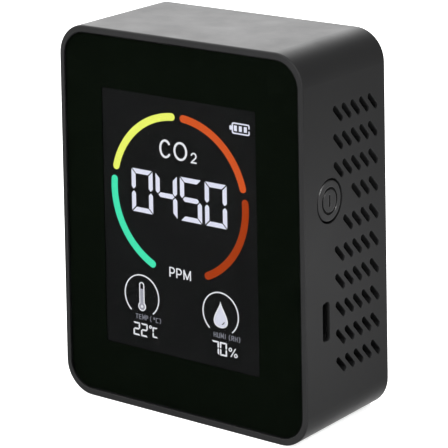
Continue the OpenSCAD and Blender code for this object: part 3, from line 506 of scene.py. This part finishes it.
def dress_electronics():
    dress(circuit_board("board_green"), "main_board", "sensor_board")
    dress(metal("zinc_screw", (0.6, 0.6, 0.62)), "board_screws")
    dress(tinned_part("chip_black", (0.018, 0.018, 0.018)), "controller_chip", "driver_chip",
          "charger_chip")
    dress(tinned_part("capacitor_tan", (0.36, 0.25, 0.13)), "capacitors")
    dress(tinned_part("resistor_black", (0.02, 0.02, 0.024)), "resistors")
    dress(tinned_part("sensor_black", (0.03, 0.03, 0.032)), "humidity_sensor")
    dress(moulded("ferrite", (0.05, 0.05, 0.052), roughness=0.7, grain=0.2), "inductor")
    dress(moulded("buzzer_black", (0.015, 0.015, 0.016), roughness=0.5), "buzzer")
    dress(metal("port_steel", (0.08, 0.08, 0.083), roughness=0.55), "port_shell")
    dress(moulded("port_plastic", (0.05, 0.05, 0.05), sheen=0.2), "port_tongue")
    dress(moulded("switch_black", (0.02, 0.02, 0.02)), "switch_body")
    dress(moulded("switch_ivory", (0.62, 0.6, 0.5)), "switch_plunger")
    dress(metal("spring_steel", (0.62, 0.6, 0.54), roughness=0.22), "switch_dome")
    dress(metal("pin_gold", (0.78, 0.56, 0.2), roughness=0.2), "sensor_pins")
    dress(metal("chamber_gold", (0.75, 0.54, 0.22), roughness=0.3), "sensor_chamber")
    dress(membrane("filter_white"), "sensor_filter")
    dress(clear_glass("lamp_glass", tint=(0.95, 0.94, 0.88), ior=1.5), "infrared_lamp")
    dress(metal("detector_can", (0.58, 0.56, 0.5), roughness=0.25), "infrared_detector")


def dress_battery():
    dress(foil("pouch_foil"), "battery_cell")
    dress(moulded("connector_ivory", (0.78, 0.74, 0.62), roughness=0.5), "battery_socket",
          "battery_plug")
    dress(moulded("lead_red", (0.45, 0.02, 0.015), roughness=0.5, grain=0.5), "battery_lead_red")
    dress(moulded("lead_black", (0.014, 0.014, 0.014), roughness=0.5, grain=0.5),
          "battery_lead_black")


# --- Stage ---

FLOOR_RADIUS = 12.0
FLOOR_SIDES = 128
FLOOR_CLOUD = 180.0
FLOOR_DARK = (0.86, 0.86, 0.86)
FLOOR_LIGHT = (0.9, 0.9, 0.9)
FLOOR_LIFT = 0.75


def floor_material():
    """Pale and matt, with a lift for the camera alone, as an overexposed paper sweep."""
    material, t = new_tree("floor_white")
    tone = t.mix(t.noise(FLOOR_CLOUD), rgba(FLOOR_DARK), rgba(FLOOR_LIGHT))
    lift = t.times(t.add("ShaderNodeLightPath").outputs["Is Camera Ray"], FLOOR_LIFT)
    matt = t.add("ShaderNodeBsdfDiffuse", Color=tone).outputs[0]
    glow = t.add("ShaderNodeEmission", Color=tone, Strength=lift).outputs[0]
    t.surface(t.joined("ShaderNodeAddShader", matt, glow))
    return material


def make_floor():
    """A wide pale disc on the case's bottom plane."""
    mesh = bpy.data.meshes.new("floor")
    shape = bmesh.new()
    bmesh.ops.create_circle(shape, cap_ends=True, segments=FLOOR_SIDES, radius=FLOOR_RADIUS)
    shape.to_mesh(mesh)
    shape.free()
    mesh.materials.append(floor_material())
    floor = bpy.data.objects.new("floor", mesh)
    floor.location = (0, 0, low.z)
    floor.visible_glossy = False
    floor.visible_transmission = False
    scene.collection.objects.link(floor)


# The room that glossy surfaces see, by the direction they look in. Each pair says where along one
# axis a patch starts to show and where it is full. The levels are brightness.
CEILING_X = (-0.03, -0.53)
CEILING_Z = (-0.05, 0.2)
CEILING_LEVEL = 2.85
GROUND_X = (0.35, -0.15)
GROUND_Z = (-0.1, -0.4)
GROUND_FOOT_Z = (-0.8, -0.6)
GROUND_LEVEL = 1.35
WALL_Z = (-0.05, -0.3)
WALL_LEVEL = 0.07
WALL_FOOT_LEVEL = 0.112
BEHIND_Y = (-0.45, 0.3)
RAISED_Z = (0.1, 0.3)
RAISED_SHARE = 0.35
LEFT_END_X = (-0.93, -0.72)
RIGHT_X = (0.15, 0.5)
RIGHT_Y = (-0.15, -0.5)
RIGHT_Z = (0.1, 0.35)
RIGHT_LEVEL = 1.6


def room_level(t):
    """Brightness of the room: bright at the back left, dark in front as if there were black cards.

    One more soft patch stands high in front on the right.
    """
    x, y, z = t.axes(t.add("ShaderNodeTexCoord").outputs["Generated"])
    ceiling = t.times(t.ramp(x, *CEILING_X, 0.0, CEILING_LEVEL), t.ramp(z, *CEILING_Z))
    ground = t.times(t.ramp(x, *GROUND_X, 0.0, GROUND_LEVEL), t.ramp(z, *GROUND_Z),
                     t.ramp(z, *GROUND_FOOT_Z))
    wall = t.ramp(z, *WALL_Z, WALL_LEVEL, WALL_FOOT_LEVEL)
    behind = t.math("MAXIMUM", t.ramp(y, *BEHIND_Y), t.ramp(z, *RAISED_Z, 0.0, RAISED_SHARE))
    room = t.math("ADD", t.math("ADD", ceiling, ground), wall)
    room = t.times(room, behind, t.ramp(x, *LEFT_END_X))
    right_patch = t.times(t.ramp(x, *RIGHT_X, 0.0, RIGHT_LEVEL), t.ramp(y, *RIGHT_Y),
                          t.ramp(z, *RIGHT_Z))
    return t.math("ADD", room, right_patch)


def make_world():
    """White all round for matt surfaces, the room for glossy ones."""
    world = bpy.data.worlds.new("studio")
    scene.world = world
    world.cycles.sampling_method = "NONE"
    t = Tree(world)
    glossy = t.add("ShaderNodeLightPath").outputs["Is Glossy Ray"]
    strength = t.math("ADD", t.times(glossy, room_level(t)), t.math("SUBTRACT", 1.0, glossy))
    background = t.add("ShaderNodeBackground", Color=(1, 1, 1, 1), Strength=strength)
    t.put(t.add("ShaderNodeOutputWorld").inputs["Surface"], background.outputs[0])


# Places and sizes in metres.
KEY_PLACE = (-0.5, 0.35, 1.1)
KEY_SIZE = 0.9
KEY_WATTS = 9.0
FRONT_PLACE = (-0.35, -0.95, 0.45)
FRONT_SIZE = 0.6
FRONT_WATTS = 9.0
SIDE_GLOW_AIM = Vector((high.x, 0.8 * low.y, 0.42 * high.z))
SIDE_GLOW_REACH = Vector((40, 0, 0)) * MM
SIDE_GLOW_SIZE = 40 * MM
SIDE_GLOW_WATTS = 0.02
GLINT_DIRECTION = Vector((0.7, -0.25, 0.68)).normalized()
GLINT_DISTANCE = 45 * MM
GLINT_SIZE = 20 * MM
GLINT_WATTS = 0.035


def add_softbox(name, position, target, size, watts):
    """A round soft light that shows in no reflection."""
    light = bpy.data.lights.new(name, "AREA")
    light.shape = "DISK"
    light.size = size
    light.energy = watts
    lamp = bpy.data.objects.new(name, light)
    lamp.location = position
    lamp.rotation_euler = (Vector(target) - Vector(position)).to_track_quat("-Z", "Y").to_euler()
    lamp.visible_camera = False
    lamp.visible_glossy = False
    scene.collection.objects.link(lamp)
    return lamp


def add_button_glint():
    """A small light that only the button's edge reflects, as its worn rim catches a lamp."""
    button_low, button_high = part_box("power_button")
    button = (button_low + button_high) / 2
    button.x = button_high.x
    lamp = add_softbox("button_glint", button + GLINT_DIRECTION * GLINT_DISTANCE, button,
                       GLINT_SIZE, GLINT_WATTS)
    lamp.visible_glossy = True
    lamp.visible_diffuse = False
    only_button = bpy.data.collections.new("only_button")
    only_button.objects.link(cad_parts["power_button"])
    lamp.light_linking.receiver_collection = only_button


def make_lights():
    """A high key light, a front light, a small one near the side and one for the button."""
    add_softbox("key_softbox", KEY_PLACE, centre, KEY_SIZE, KEY_WATTS)
    add_softbox("front_softbox", FRONT_PLACE, centre, FRONT_SIZE, FRONT_WATTS)
    add_softbox("side_glow", SIDE_GLOW_AIM + SIDE_GLOW_REACH, SIDE_GLOW_AIM, SIDE_GLOW_SIZE,
                SIDE_GLOW_WATTS)
    add_button_glint()


# --- Camera ---

# The camera looks from the front right and a little above, with its lens shifted, as a view
# camera's is, so that the case's upright edges stay almost parallel. Angles are in degrees.
HERO_AZIMUTH = 39.39
HERO_ELEVATION = 4.97
HERO_ROLL = -1.3255
HERO_DISTANCE = 607.05 * MM
HERO_AIM = Vector((-44.37, -0.25, 114.13)) * MM
HERO_LENS = 192.77
HERO_SHIFT = (0.3406, -1.0726)
HERO_NEAR = 10 * MM
HERO_FAR = 50.0
AT_START = 0.001             # metres from the marker


def only_at_start(camera, marker, channel, value):
    """Holds a lens shift only while the camera stands on its marker: other views are centred."""
    driver = camera.data.driver_add(channel).driver
    driver.type = "SCRIPTED"
    gap = driver.variables.new()
    gap.name = "gap"
    gap.type = "LOC_DIFF"
    gap.targets[0].id = camera
    gap.targets[1].id = marker
    driver.expression = f"{value} if gap < {AT_START} else 0.0"


def make_camera():
    """The camera at the photo's viewpoint, and the marker that its lens shift depends on."""
    azimuth = math.radians(HERO_AZIMUTH)
    elevation = math.radians(HERO_ELEVATION)
    back = Vector((
        math.sin(azimuth) * math.cos(elevation),
        -math.cos(azimuth) * math.cos(elevation),
        math.sin(elevation)))
    data = bpy.data.cameras.new("hero")
    data.lens = HERO_LENS
    data.clip_start = HERO_NEAR
    data.clip_end = HERO_FAR
    camera = bpy.data.objects.new("hero", data)
    camera.rotation_mode = "QUATERNION"
    camera.location = centre + HERO_AIM + back * HERO_DISTANCE
    turn = (-back).to_track_quat("-Z", "Y").to_matrix().to_4x4()
    roll = Matrix.Rotation(math.radians(HERO_ROLL), 4, "Z")
    camera.rotation_quaternion = (turn @ roll).to_quaternion()
    scene.collection.objects.link(camera)
    marker = bpy.data.objects.new("hero_spot", None)
    marker.location = camera.location
    scene.collection.objects.link(marker)
    only_at_start(camera, marker, "shift_x", HERO_SHIFT[0])
    only_at_start(camera, marker, "shift_y", HERO_SHIFT[1])
    scene.camera = camera


dress_case()
dress_window()
dress_lit_parts()
dress_display()
dress_electronics()
dress_battery()
make_floor()
make_world()
make_lights()
make_camera()
scene.view_settings.view_transform = "Standard"
